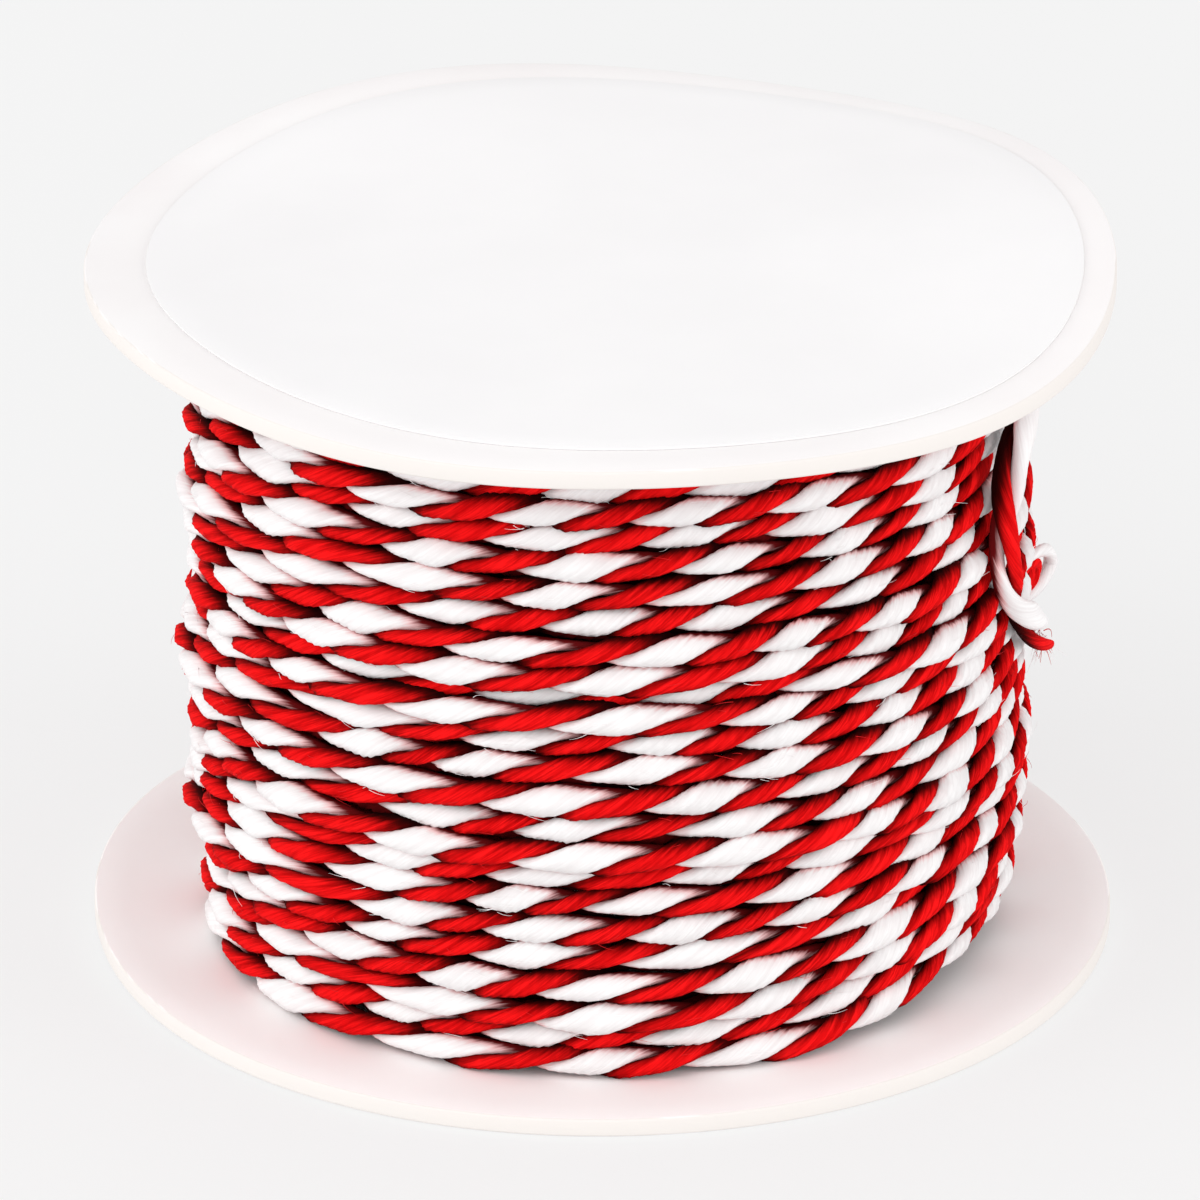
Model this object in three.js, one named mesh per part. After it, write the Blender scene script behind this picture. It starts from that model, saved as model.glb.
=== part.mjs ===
// A card spool wound with a soft two-strand cord, in millimetres, +Z up.
// The spool stands on its lower flange. The origin is the centre of that flange's underside.
// Angles on the spool are in degrees from the front, which faces -Y, and grow towards +X.
import * as THREE from 'three';

// Spool
const FLANGE_RADIUS = 35;
const CARD_THICKNESS = 1.3;
const SPOOL_HEIGHT = 48.8; // from the lower flange's underside to the upper flange's face
const GAP = 0.3; // left between neighbouring pieces

// Paper facing on the upper flange
const FACING_RADIUS = 31.8;
const FACING_THICKNESS = 0.25;
const FACING_CENTRE = { x: 1.0, y: 0.3 };

// Cord, and how it lies when wound
const CORD_DIAMETER = 2.5;
const TURNS = 24;
const GROOVE_DEPTH = 0.95; // from a turn's crest down to the groove beside it
const CREST_HALF_WIDTH = 0.42; // of the flat that stands for a turn's rounded crest
const END_RINGS = [0.5, 0.8, 1]; // across each end of the winding, as shares of its radius

// How finely the round pieces are divided
const FLANGE_SECTORS = 72;
const WINDING_SECTORS = 64;
const PLATE_RINGS = [0, 0.4, 0.7, 0.86, 1]; // across a plate, as shares of its radius

// The upper flange isn't quite flat: waves round its rim, as the lift at the rim.
const RIM_WAVES = [
  { waves: 1, along_x: -0.24, along_y: 0.08 },
  { waves: 2, along_x: 0.11, along_y: 0.39 },
  { waves: 3, along_x: 0.31, along_y: 0.2 },
  { waves: 4, along_x: 0.05, along_y: 0.48 },
];

// The lower flange's rim curls up a little at the back left.
const RIM_CURL = { angle: 251, spread: 37, lift: 1.0, starts_at: 0.62 * FLANGE_RADIUS };

// The wound cord swells towards the middle of the spool and sits forward at its foot.
const WOUND_SHAPE = [
  { height: 1.6, radius: 27.6, forward: 1.7 },
  { height: 4.2, radius: 28.0, forward: 1.6 },
  { height: 10.5, radius: 28.4, forward: 1.3 },
  { height: 21, radius: 28.8, forward: 1.0 },
  { height: 31.5, radius: 28.8, forward: 0.7 },
  { height: 38.5, radius: 28.3, forward: 0.5 },
  { height: 47.2, radius: 27.9, forward: 0.4 },
];
const WOUND_SHIFT_X = 0.4;

// How each turn strays from its level: slow waves round the spool that differ from turn to turn.
const TURN_SWAY = [
  { waves: 1, height: 0.2, proud: 0.12, turn_shift: 137 },
  { waves: 2, height: 0.17, proud: 0.16, turn_shift: 98 },
  { waves: 3, height: 0.12, proud: 0.12, turn_shift: 211 },
];
const STAGGER = 0.2; // every other turn lies this much deeper, and the ones between stand proud
const CALM_TURNS = 6; // at either flange, over which the sway in height dies away

// The loose end leaves the top turn at the back right, bends down over the turns and ends free.
const LOOSE_END_ROUTE = [
  { angle: 100, height: 44.7 },
  { angle: 90, height: 44.6 },
  { angle: 80, height: 44.1 },
  { angle: 71.5, height: 42.4 },
  { angle: 66, height: 39.6 },
  { angle: 64, height: 36.2 },
  { angle: 64, height: 32.8 },
  { angle: 65.5, height: 30.2 },
  { angle: 69.5, height: 27.6 },
  { angle: 74.5, height: 25.2 },
  { angle: 80, height: 22.8 },
];
const LOOSE_END_RADIUS = 30.3; // of its centreline, from the axis
const ROUTE_SAMPLES = 60; // points along the route when the bed under it is measured
const LOOSE_END_STEPS = 22;
const LOOSE_END_SIDES = 8;
const BED_HALF_WIDTH = 2.0; // of the shallow bed in the turns under it
const BED_SLOPE = 0.6; // of the turns' rise on either side of the bed

const COLOURS = {
  card: { color: 0xf3eff1, roughness: 0.85, metalness: 0 },
  paper: { color: 0xf1eff0, roughness: 0.8, metalness: 0 },
  cord: { color: 0xd8232a, roughness: 0.9, metalness: 0 },
};

const radians = THREE.MathUtils.degToRad;

// A point at an angle from the front and a distance from the axis.
function aroundAxis(angle, radius, height) {
  return new THREE.Vector3(radius * Math.sin(radians(angle)), -radius * Math.cos(radians(angle)), height);
}

// The angle from the front at which a point lies.
function angleOf(x, y) {
  return THREE.MathUtils.radToDeg(Math.atan2(x, -y));
}

// How far the upper flange stands above its level at a point.
function upperLift(x, y) {
  const turn = Math.atan2(y, x);
  const reach = Math.hypot(x, y) / FLANGE_RADIUS;
  const rim = RIM_WAVES.reduce(
    (sum, w) => sum + w.along_x * Math.cos(w.waves * turn) + w.along_y * Math.sin(w.waves * turn),
    0,
  );
  return reach * reach * rim;
}

// How far the lower flange curls off the surface it stands on.
function lowerLift(x, y) {
  const away = Math.hypot(x, y) - RIM_CURL.starts_at;
  if (away <= 0) return 0;
  const turned = THREE.MathUtils.euclideanModulo(angleOf(x, y) - RIM_CURL.angle + 180, 360) - 180;
  const share = away / (FLANGE_RADIUS - RIM_CURL.starts_at);
  return RIM_CURL.lift * share * share * Math.exp(-((turned / RIM_CURL.spread) ** 2));
}

// A value from a table of sections, read at a height between two of them.
function atHeight(table, height, column) {
  const last = table.length - 1;
  if (height <= table[0].height) return table[0][column];
  if (height >= table[last].height) return table[last][column];
  const i = table.findIndex((row) => row.height > height);
  const share = (height - table[i - 1].height) / (table[i].height - table[i - 1].height);
  return THREE.MathUtils.lerp(table[i - 1][column], table[i][column], share);
}

// A round plate whose two faces both follow a lift, from a profile turned about the axis.
function plate({ radius, thickness, level, lift, centre = { x: 0, y: 0 } }) {
  const rings = PLATE_RINGS.map((share) => share * radius);
  const under = rings.map((r) => new THREE.Vector2(r, 0));
  const over = [...rings].reverse().map((r) => new THREE.Vector2(r, thickness));
  const geometry = new THREE.LatheGeometry([...under, ...over], FLANGE_SECTORS);
  geometry.rotateX(Math.PI / 2);
  geometry.translate(centre.x, centre.y, level);
  const position = geometry.attributes.position;
  for (let i = 0; i < position.count; i += 1) {
    const [x, y, z] = [position.getX(i), position.getY(i), position.getZ(i)];
    position.setZ(i, z + lift(x, y));
  }
  return geometry;
}

// The loose end's route as a smooth curve.
function looseEndCurve() {
  return new THREE.CatmullRomCurve3(
    LOOSE_END_ROUTE.map((p) => aroundAxis(p.angle, LOOSE_END_RADIUS, p.height)),
    false,
    'centripetal',
  );
}

// The furthest that the turns reach from the axis at a point, where the loose end beds into them.
function limitUnderLooseEnd(route, angle, height) {
  const away = route.map((p) => Math.hypot(radians(angle - p.angle) * LOOSE_END_RADIUS, height - p.height));
  const bed = LOOSE_END_RADIUS - CORD_DIAMETER / 2 - GAP;
  return bed + BED_SLOPE * Math.max(0, Math.min(...away) - BED_HALF_WIDTH);
}

// How far a turn strays at an angle, in height or in how proud it stands.
function sway(turn, angle, column) {
  return TURN_SWAY.reduce(
    (sum, w) => sum + w[column] * Math.sin(radians(w.waves * angle + w.turn_shift * turn)),
    0,
  );
}

// A turn's height and its crest's distance from the axis, at an angle.
function turnAt(turn, angle) {
  const lowest = CARD_THICKNESS + GAP + CORD_DIAMETER / 2;
  const highest = SPOOL_HEIGHT - CARD_THICKNESS - GAP - CORD_DIAMETER / 2;
  const share = turn / (TURNS - 1);
  const height = THREE.MathUtils.lerp(lowest, highest, share);
  const free = Math.min(1, turn / CALM_TURNS, (TURNS - 1 - turn) / CALM_TURNS);
  const depth = turn % 2 ? STAGGER : -STAGGER;
  return {
    height: height + free * sway(turn, angle, 'height'),
    radius: atHeight(WOUND_SHAPE, height, 'radius') + depth + sway(turn, angle, 'proud'),
  };
}

// The wound cord's outline at one angle, from the lower flange to the upper one.
function windingOutline(angle) {
  const bottom = CARD_THICKNESS + GAP;
  const top = SPOOL_HEIGHT - CARD_THICKNESS - GAP;
  const turns = Array.from({ length: TURNS }, (_, turn) => turnAt(turn, angle));
  const foot = turns[0].radius - GROOVE_DEPTH;
  const head = turns[TURNS - 1].radius - GROOVE_DEPTH;
  const points = [0, ...END_RINGS].map((share) => ({ radius: share * foot, height: bottom }));
  turns.forEach((turn, i) => {
    points.push({ radius: turn.radius, height: turn.height - CREST_HALF_WIDTH });
    points.push({ radius: turn.radius, height: turn.height + CREST_HALF_WIDTH });
    const next = turns[i + 1];
    if (next) {
      points.push({
        radius: Math.min(turn.radius, next.radius) - GROOVE_DEPTH,
        height: (turn.height + next.height) / 2,
      });
    }
  });
  points.push(...[...END_RINGS].reverse().map((share) => ({ radius: share * head, height: top })));
  points.push({ radius: 0, height: top });
  return points;
}

// The wound cord: one solid, ridged by the turns that show.
function windingGeometry() {
  const flat = windingOutline(0).map((p) => new THREE.Vector2(p.radius, p.height));
  const geometry = new THREE.LatheGeometry(flat, WINDING_SECTORS);
  const curve = looseEndCurve();
  const route = curve.getPoints(ROUTE_SAMPLES).map((p) => ({ angle: angleOf(p.x, p.y), height: p.z }));
  const bottom = CARD_THICKNESS + GAP;
  const top = SPOOL_HEIGHT - CARD_THICKNESS - GAP;
  const position = geometry.attributes.position;
  for (let sector = 0; sector <= WINDING_SECTORS; sector += 1) {
    const angle = ((sector % WINDING_SECTORS) * 360) / WINDING_SECTORS;
    windingOutline(angle).forEach((p, j) => {
      const onAxis = p.radius === 0;
      const forward = atHeight(WOUND_SHAPE, p.height, 'forward');
      const placed = aroundAxis(angle, p.radius, 0);
      const [x, y] = onAxis ? [0, 0] : [placed.x + WOUND_SHIFT_X, placed.y - forward];
      const limit = onAxis ? Infinity : limitUnderLooseEnd(route, angleOf(x, y), p.height);
      const reach = Math.hypot(x, y);
      const pulled = reach > limit ? limit / reach : 1;
      const share = (p.height - bottom) / (top - bottom);
      const lift = THREE.MathUtils.lerp(lowerLift(x, y), upperLift(x, y), share);
      position.setXYZ(sector * flat.length + j, x * pulled, y * pulled, p.height + lift);
    });
  }
  return geometry;
}

// The loose end: a plain round tube along its route.
function looseEndGeometry() {
  const section = new THREE.Shape(
    Array.from({ length: LOOSE_END_SIDES }, (_, i) => {
      const turn = (2 * Math.PI * i) / LOOSE_END_SIDES;
      return new THREE.Vector2(Math.cos(turn), Math.sin(turn)).multiplyScalar(CORD_DIAMETER / 2);
    }),
  );
  return new THREE.ExtrudeGeometry(section, {
    extrudePath: looseEndCurve(),
    steps: LOOSE_END_STEPS,
    bevelEnabled: false,
  });
}

// A named piece of the spool.
function piece(name, geometry, colour) {
  const mesh = new THREE.Mesh(geometry, new THREE.MeshStandardMaterial(colour));
  mesh.name = name;
  return mesh;
}

const spool = new THREE.Group();
spool.name = 'spool_of_twisted_cord';
spool.add(
  piece(
    'lower_flange',
    plate({ radius: FLANGE_RADIUS, thickness: CARD_THICKNESS, level: 0, lift: lowerLift }),
    COLOURS.card,
  ),
  piece(
    'upper_flange',
    plate({
      radius: FLANGE_RADIUS,
      thickness: CARD_THICKNESS,
      level: SPOOL_HEIGHT - CARD_THICKNESS,
      lift: upperLift,
    }),
    COLOURS.card,
  ),
  piece(
    'paper_facing',
    plate({
      radius: FACING_RADIUS,
      thickness: FACING_THICKNESS,
      level: SPOOL_HEIGHT + GAP,
      lift: upperLift,
      centre: FACING_CENTRE,
    }),
    COLOURS.paper,
  ),
  piece('winding', windingGeometry(), COLOURS.cord),
  piece('loose_end', looseEndGeometry(), COLOURS.cord),
);

export default spool;
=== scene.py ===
"""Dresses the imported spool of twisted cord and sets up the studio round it.

Sizes are in millimetres in the part's own frame, +Z up with the front towards -Y, and become metres where
a mesh is made. Angles round the spool are in degrees from the front and grow towards +X.
"""

import logging
import math
from collections.abc import Callable
from dataclasses import dataclass, field
from enum import Enum

import bmesh
import bpy
import numpy as np
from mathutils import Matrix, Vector


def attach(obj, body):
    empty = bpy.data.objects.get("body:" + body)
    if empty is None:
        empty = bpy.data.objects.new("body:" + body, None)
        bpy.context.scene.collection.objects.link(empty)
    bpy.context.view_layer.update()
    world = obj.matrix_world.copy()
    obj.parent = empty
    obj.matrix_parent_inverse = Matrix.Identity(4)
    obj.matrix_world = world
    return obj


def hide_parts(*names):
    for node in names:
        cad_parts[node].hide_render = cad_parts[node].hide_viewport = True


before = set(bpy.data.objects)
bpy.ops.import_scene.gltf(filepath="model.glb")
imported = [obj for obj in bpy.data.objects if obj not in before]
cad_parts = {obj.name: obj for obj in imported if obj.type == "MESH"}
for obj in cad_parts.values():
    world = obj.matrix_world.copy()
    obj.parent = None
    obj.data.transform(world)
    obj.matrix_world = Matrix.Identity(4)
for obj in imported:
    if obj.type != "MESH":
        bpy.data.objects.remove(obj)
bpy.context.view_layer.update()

log = logging.getLogger("spool")

MM = 0.001

FLANGE_RADIUS = 35.0
CARD_THICKNESS = 1.3
SPOOL_HEIGHT = 48.8
CORD_DIAMETER = 2.5
TURNS = 24
LAY = 9.6  # length of cord in which its strands go once round each other
FACING_RADIUS = 31.8
FACING_THICKNESS = 0.16
FACING_GAP = 0.01
CLEARANCE = 0.05  # between the card and the turn next to it
NEAR = 0.01  # two places closer than this count as the same height or radius
MERGE = 0.001  # two vertices closer than this become one

# The colour sockets of a Mix node
MIX_FROM = 6
MIX_TO = 7
MIX_RESULT = 2

Field = Callable[[np.ndarray, np.ndarray], np.ndarray]
Colour = tuple[float, float, float]
Socket = bpy.types.NodeSocket
Knots = tuple[tuple[float, float, float], ...]


class Ply(Enum):
    """The two strands of the cord."""

    WHITE = "white"
    RED = "red"


@dataclass(frozen=True)
class RimWave:
    """One wave of the upper flange's rim, as its lift there along two directions."""

    waves: int
    along_x: float
    along_y: float


@dataclass(frozen=True)
class Section:
    """The wound cord's outline at one height: its crest radius and how far it sits forward."""

    height: float
    radius: float
    forward: float


@dataclass(frozen=True)
class Turn:
    """One turn of the cord as it passes the front.

    A white strand faces forward at the angle white_at. The turn lies higher by rise and stands out by proud.
    """

    white_at: float
    rise: float
    proud: float


@dataclass(frozen=True)
class Stray:
    """A place where one turn, counted from the bottom, strays from its neighbours."""

    turn: int
    angle: float
    spread: float
    rise: float
    proud: float


@dataclass(frozen=True)
class RoutePoint:
    """A point on the loose end's route."""

    angle: float
    height: float


@dataclass(frozen=True)
class Drift:
    """A slow seeded wander to either side, by up to its reach, which changes over its length."""

    reach: float
    length: float
    seed: int

    def __call__(self, along: np.ndarray) -> np.ndarray:
        """Gives the wander along a line.

        Args:
            along: Distances along the line, in the unit of the length.

        Returns:
            The wander at each distance.
        """
        rng = np.random.default_rng(self.seed)
        knots = rng.uniform(-1, 1, int(along[-1] / self.length) + 4)
        share = along / self.length
        i = share.astype(int)
        t = share - i
        t = t * t * (3 - 2 * t)
        return self.reach * (knots[i] * (1 - t) + knots[i + 1] * t)


RIM_WAVES = (
    RimWave(waves=1, along_x=-0.24, along_y=0.08),
    RimWave(waves=2, along_x=0.11, along_y=0.39),
    RimWave(waves=3, along_x=0.31, along_y=0.2),
    RimWave(waves=4, along_x=0.05, along_y=0.48),
)
# The wound cord's outline from the bottom up
WOUND_SHAPE = (
    Section(height=1.6, radius=27.6, forward=1.7),
    Section(height=4.2, radius=28.0, forward=1.6),
    Section(height=10.5, radius=28.4, forward=1.3),
    Section(height=21.0, radius=28.8, forward=1.0),
    Section(height=31.5, radius=28.8, forward=0.7),
    Section(height=38.5, radius=28.3, forward=0.5),
    Section(height=47.2, radius=27.9, forward=0.4),
)
WOUND_SHIFT_X = 0.4
# The turns from the bottom up
TURN_TABLE = (
    Turn(white_at=-4.5, rise=-0.3, proud=0.1),
    Turn(white_at=-12, rise=-0.9, proud=-0.3),
    Turn(white_at=-4, rise=-0.9, proud=0.5),
    Turn(white_at=-4, rise=0.2, proud=0.3),
    Turn(white_at=7.5, rise=0.25, proud=-0.1),
    Turn(white_at=9, rise=0.2, proud=0.2),
    Turn(white_at=2, rise=0.7, proud=0.1),
    Turn(white_at=12, rise=0.7, proud=-0.5),
    Turn(white_at=-6, rise=0.0, proud=0.3),
    Turn(white_at=-7.5, rise=0.25, proud=-0.1),
    Turn(white_at=-10, rise=0.45, proud=0.3),
    Turn(white_at=1.5, rise=1.1, proud=0.0),
    Turn(white_at=6, rise=1.05, proud=-0.3),
    Turn(white_at=-1, rise=0.9, proud=0.4),
    Turn(white_at=-11, rise=0.4, proud=-0.9),
    Turn(white_at=-2, rise=-0.6, proud=-0.1),
    Turn(white_at=6, rise=-0.2, proud=0.4),
    Turn(white_at=-4, rise=0.2, proud=-0.2),
    Turn(white_at=11, rise=-0.15, proud=0.4),
    Turn(white_at=-6, rise=0.4, proud=0.1),
    Turn(white_at=-10, rise=0.45, proud=0.0),
    Turn(white_at=9, rise=0.15, proud=0.1),
    Turn(white_at=-4, rise=-0.7, proud=-0.3),
    Turn(white_at=5, rise=0.0, proud=0.0),
)
STRAYS = (
    Stray(turn=0, angle=66, spread=26, rise=2.3, proud=-0.5),
    Stray(turn=1, angle=66, spread=26, rise=2.2, proud=-0.3),
    Stray(turn=2, angle=64, spread=26, rise=1.9, proud=0.2),
    Stray(turn=3, angle=62, spread=26, rise=1.4, proud=-0.5),
    Stray(turn=4, angle=62, spread=24, rise=1.0, proud=0.0),
    Stray(turn=5, angle=62, spread=24, rise=0.6, proud=0.0),
    Stray(turn=2, angle=31, spread=12, rise=0.0, proud=-1.0),
    Stray(turn=1, angle=-42, spread=14, rise=0.2, proud=-0.4),
    Stray(turn=5, angle=-32, spread=16, rise=-0.3, proud=-0.5),
    Stray(turn=8, angle=-44, spread=15, rise=-0.3, proud=0.4),
    Stray(turn=9, angle=-35, spread=14, rise=0.3, proud=-0.5),
    Stray(turn=9, angle=34, spread=13, rise=-0.4, proud=0.3),
    Stray(turn=10, angle=34, spread=12, rise=0.3, proud=-0.4),
    Stray(turn=12, angle=28, spread=14, rise=-0.4, proud=0.2),
    Stray(turn=13, angle=28, spread=14, rise=0.2, proud=-0.4),
    Stray(turn=14, angle=46, spread=14, rise=0.0, proud=0.8),
    Stray(turn=16, angle=-44, spread=16, rise=-0.3, proud=-0.6),
    Stray(turn=18, angle=-46, spread=15, rise=0.3, proud=0.4),
    Stray(turn=20, angle=13, spread=10, rise=0.1, proud=-0.7),
    Stray(turn=22, angle=-60, spread=16, rise=-0.8, proud=0.6),
    Stray(turn=4, angle=-88, spread=12, rise=0.3, proud=0.6),
    Stray(turn=8, angle=-84, spread=9, rise=-0.2, proud=0.5),
    Stray(turn=10, angle=-90, spread=10, rise=0.3, proud=0.7),
    Stray(turn=16, angle=-86, spread=10, rise=0.0, proud=0.6),
    Stray(turn=19, angle=-88, spread=9, rise=-0.3, proud=0.8),
    Stray(turn=22, angle=-86, spread=11, rise=-0.4, proud=0.8),
    Stray(turn=14, angle=84, spread=12, rise=0.3, proud=0.7),
    Stray(turn=5, angle=82, spread=12, rise=-0.3, proud=0.6),
)
# The loose end from where it leaves the top turn to its tip
LOOSE_END_ROUTE = (
    RoutePoint(angle=100, height=44.7),
    RoutePoint(angle=90, height=44.6),
    RoutePoint(angle=80, height=44.1),
    RoutePoint(angle=71.5, height=42.4),
    RoutePoint(angle=66, height=39.6),
    RoutePoint(angle=64, height=36.2),
    RoutePoint(angle=64, height=32.8),
    RoutePoint(angle=65.5, height=30.2),
    RoutePoint(angle=69.5, height=27.6),
    RoutePoint(angle=74.5, height=25.2),
    RoutePoint(angle=80, height=22.8),
)
LOOSE_END_RADIUS = 30.3
BED_EDGE = 0.5  # the turns rise again from this far beside the loose end's line
BED_SLOPE = 1.7
BED_POINTS = 60


def wound_radius(height: np.ndarray) -> np.ndarray:
    """Gives the wound cord's crest radius at each height."""
    return np.interp(height, [s.height for s in WOUND_SHAPE], [s.radius for s in WOUND_SHAPE])


def wound_forward(height: np.ndarray) -> np.ndarray:
    """Gives how far the wound cord sits forward at each height."""
    return np.interp(height, [s.height for s in WOUND_SHAPE], [s.forward for s in WOUND_SHAPE])


def upper_lift(x: np.ndarray, y: np.ndarray) -> np.ndarray:
    """Says how far the wavy upper flange stands above its level.

    Args:
        x: Places across the spool.
        y: Places along the viewer's line, as many as x.

    Returns:
        The lift at each place.
    """
    turn = np.arctan2(y, x)
    rim = sum(w.along_x * np.cos(w.waves * turn) + w.along_y * np.sin(w.waves * turn) for w in RIM_WAVES)
    return (np.hypot(x, y) / FLANGE_RADIUS) ** 2 * rim


@dataclass(frozen=True)
class RimCurl:
    """The place where the lower flange's rim curls off the surface it stands on."""

    angle: float = 251
    spread: float = 37
    lift: float = 1.0
    starts_at: float = 0.62 * FLANGE_RADIUS

    def __call__(self, x: np.ndarray, y: np.ndarray) -> np.ndarray:
        """Says how far the lower flange stands above its level.

        Args:
            x: Places across the spool.
            y: Places along the viewer's line, as many as x.

        Returns:
            The lift at each place.
        """
        away = np.maximum(0, np.hypot(x, y) - self.starts_at) / (FLANGE_RADIUS - self.starts_at)
        turned = np.mod(np.degrees(np.arctan2(x, -y)) - self.angle + 180, 360) - 180
        return self.lift * away**2 * np.exp(-((turned / self.spread) ** 2))


lower_lift = RimCurl()


def finished(name: str, bm: bmesh.types.BMesh, material: bpy.types.Material) -> bpy.types.Object:
    """Makes a smooth-shaded object of a bmesh whose places are in metres.

    Args:
        name: The object's name.
        bm: The shape, which is freed.
        material: The object's one material.

    Returns:
        The object, at the origin.
    """
    mesh = bpy.data.meshes.new(name)
    bm.to_mesh(mesh)
    bm.free()
    mesh.polygons.foreach_set("use_smooth", [True] * len(mesh.polygons))
    mesh.materials.append(material)
    obj = bpy.data.objects.new(name, mesh)
    bpy.context.scene.collection.objects.link(obj)
    return obj


class Nodes:
    """Shorthand for placing and joining the nodes of one tree."""

    def __init__(self, tree: bpy.types.NodeTree) -> None:
        """Keeps the tree and clears it."""
        self.tree = tree
        tree.nodes.clear()

    def add(self, kind: str, inputs: dict | None = None, **settings: object) -> bpy.types.Node:
        """Places a node.

        Args:
            kind: The node's type name, without ShaderNode in front.
            inputs: Values or output sockets by input name or number.
            settings: Attributes set on the node first.

        Returns:
            The node.
        """
        node = self.tree.nodes.new(kind if kind.startswith("NodeGroup") else f"ShaderNode{kind}")
        for key, value in settings.items():
            setattr(node, key, value)
        for key, value in (inputs or {}).items():
            if isinstance(value, Socket):
                self.tree.links.new(value, node.inputs[key])
            else:
                node.inputs[key].default_value = value
        return node

    def reckon(self, operation: str, first: Socket, second: Socket) -> Socket:
        """Joins two values by an operation."""
        return self.add("Math", {0: first, 1: second}, operation=operation).outputs[0]

    def noise(self, place: Socket, **inputs: object) -> Socket:
        """Reads cloudy noise at a place."""
        return self.add("TexNoise", {"Vector": place, **inputs}).outputs["Fac"]

    def rise(self, value: Socket, start: float, end: float, easing: str = "LINEAR") -> Socket:
        """Turns a value into a share that rises from 0 at the start to 1 at the end.

        Args:
            value: The value.
            start: Where the share leaves 0.
            end: Where it reaches 1.
            easing: The interpolation's name.

        Returns:
            The share.
        """
        inputs = {"Value": value, "From Min": start, "From Max": end}
        return self.add("MapRange", inputs, interpolation_type=easing).outputs[0]

    def blend(self, share: Socket, first: Socket | tuple, second: Socket | tuple) -> Socket:
        """Goes from one colour to another.

        Args:
            share: How far, from 0 to 1.
            first: The colour at 0.
            second: The colour at 1.

        Returns:
            The colour between.
        """
        inputs = {0: share, MIX_FROM: first, MIX_TO: second}
        return self.add("Mix", inputs, data_type="RGBA").outputs[MIX_RESULT]


def new_group(name: str, inputs: dict[str, tuple[str, float | None]], outputs: dict[str, str]) -> Nodes:
    """Makes an empty shader group with named sockets.

    Args:
        name: The group's name.
        inputs: Each input's socket kind and value.
        outputs: Each output's socket kind.

    Returns:
        The group's nodes, with its tree.
    """
    tree = bpy.data.node_groups.new(name, "ShaderNodeTree")
    nodes = Nodes(tree)
    for label, (kind, value) in inputs.items():
        socket = tree.interface.new_socket(label, in_out="INPUT", socket_type=f"NodeSocket{kind}")
        if value is not None:
            socket.default_value = value
    for label, kind in outputs.items():
        tree.interface.new_socket(label, in_out="OUTPUT", socket_type=f"NodeSocket{kind}")
    return nodes


def fibre_group() -> bpy.types.NodeTree:
    """Makes the fine fibres of a spun strand, drawn out along it.

    Returns:
        A group that takes a place along the strand and gives a tone from 0 to 1 and a height.
    """
    nodes = new_group(
        "spun fibres",
        {"Place": ("Vector", None), "Fineness": ("Float", 5.0), "Stretch": ("Float", 9.0)},
        {"Tone": "Float", "Height": "Float"},
    )
    given = nodes.add("NodeGroupInput").outputs
    squeezed = nodes.reckon("DIVIDE", given["Fineness"], given["Stretch"])
    scale = nodes.add("CombineXYZ", {0: given["Fineness"], 1: given["Fineness"], 2: squeezed})
    drawn = nodes.add("VectorMath", {0: given["Place"], 1: scale.outputs[0]}, operation="MULTIPLY")
    fine = nodes.noise(drawn.outputs[0], Scale=1.0, Detail=3.0, Roughness=0.62)
    clumps = nodes.noise(drawn.outputs[0], Scale=0.37, Detail=2.0)
    tone = nodes.rise(nodes.reckon("MULTIPLY", fine, clumps), 0.14, 0.36)
    nodes.add("NodeGroupOutput", {"Tone": tone, "Height": nodes.reckon("ADD", fine, clumps)})
    return nodes.tree


def pulp_group() -> bpy.types.NodeTree:
    """Makes the faint cloudiness and tooth of paper and card.

    Returns:
        A group that takes a place in metres and gives a tone from 0 to 1 and a height.
    """
    nodes = new_group(
        "paper pulp",
        {"Place": ("Vector", None), "Tooth": ("Float", 4000.0), "Cloud": ("Float", 90.0)},
        {"Tone": "Float", "Height": "Float"},
    )
    given = nodes.add("NodeGroupInput").outputs
    tooth = nodes.noise(given["Place"], Scale=given["Tooth"], Detail=3.0, Roughness=0.6)
    cloud = nodes.noise(given["Place"], Scale=given["Cloud"], Detail=4.0)
    nodes.add("NodeGroupOutput", {"Tone": nodes.rise(cloud, 0.3, 0.7), "Height": tooth})
    return nodes.tree


@dataclass(frozen=True)
class PlainFinish:
    """A matt surface with faint cloudiness and tooth: card, paper or single fibres.

    The mesh's own attribute, cut, says where a plate's cut edge shows.
    """

    name: str
    light: Colour
    dark: Colour
    cut: Colour
    roughness: float = 0.75
    tooth: float = 3500.0
    bump: float = 0.12
    reach: float = 0.05

    def material(self, pulp: bpy.types.NodeTree) -> bpy.types.Material:
        """Makes the material.

        Args:
            pulp: The shared group from pulp_group.

        Returns:
            The material.
        """
        made = bpy.data.materials.new(self.name)
        made.use_nodes = True
        nodes = Nodes(made.node_tree)
        place = nodes.add("TexCoord").outputs["Object"]
        grain = nodes.add("Group", {"Place": place, "Tooth": self.tooth}, node_tree=pulp).outputs
        face = nodes.blend(grain["Tone"], (*self.dark, 1), (*self.light, 1))
        cut = nodes.add("Attribute", attribute_name="cut", attribute_type="GEOMETRY").outputs["Fac"]
        bump = {"Height": grain["Height"], "Strength": self.bump, "Distance": self.reach * MM}
        shader = nodes.add(
            "BsdfPrincipled",
            {
                "Base Color": nodes.blend(cut, face, (*self.cut, 1)),
                "Roughness": self.roughness,
                "Specular IOR Level": 0.3,
                "Normal": nodes.add("Bump", bump).outputs[0],
            },
        )
        nodes.add("OutputMaterial", {0: shader.outputs[0]})
        return made


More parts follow.
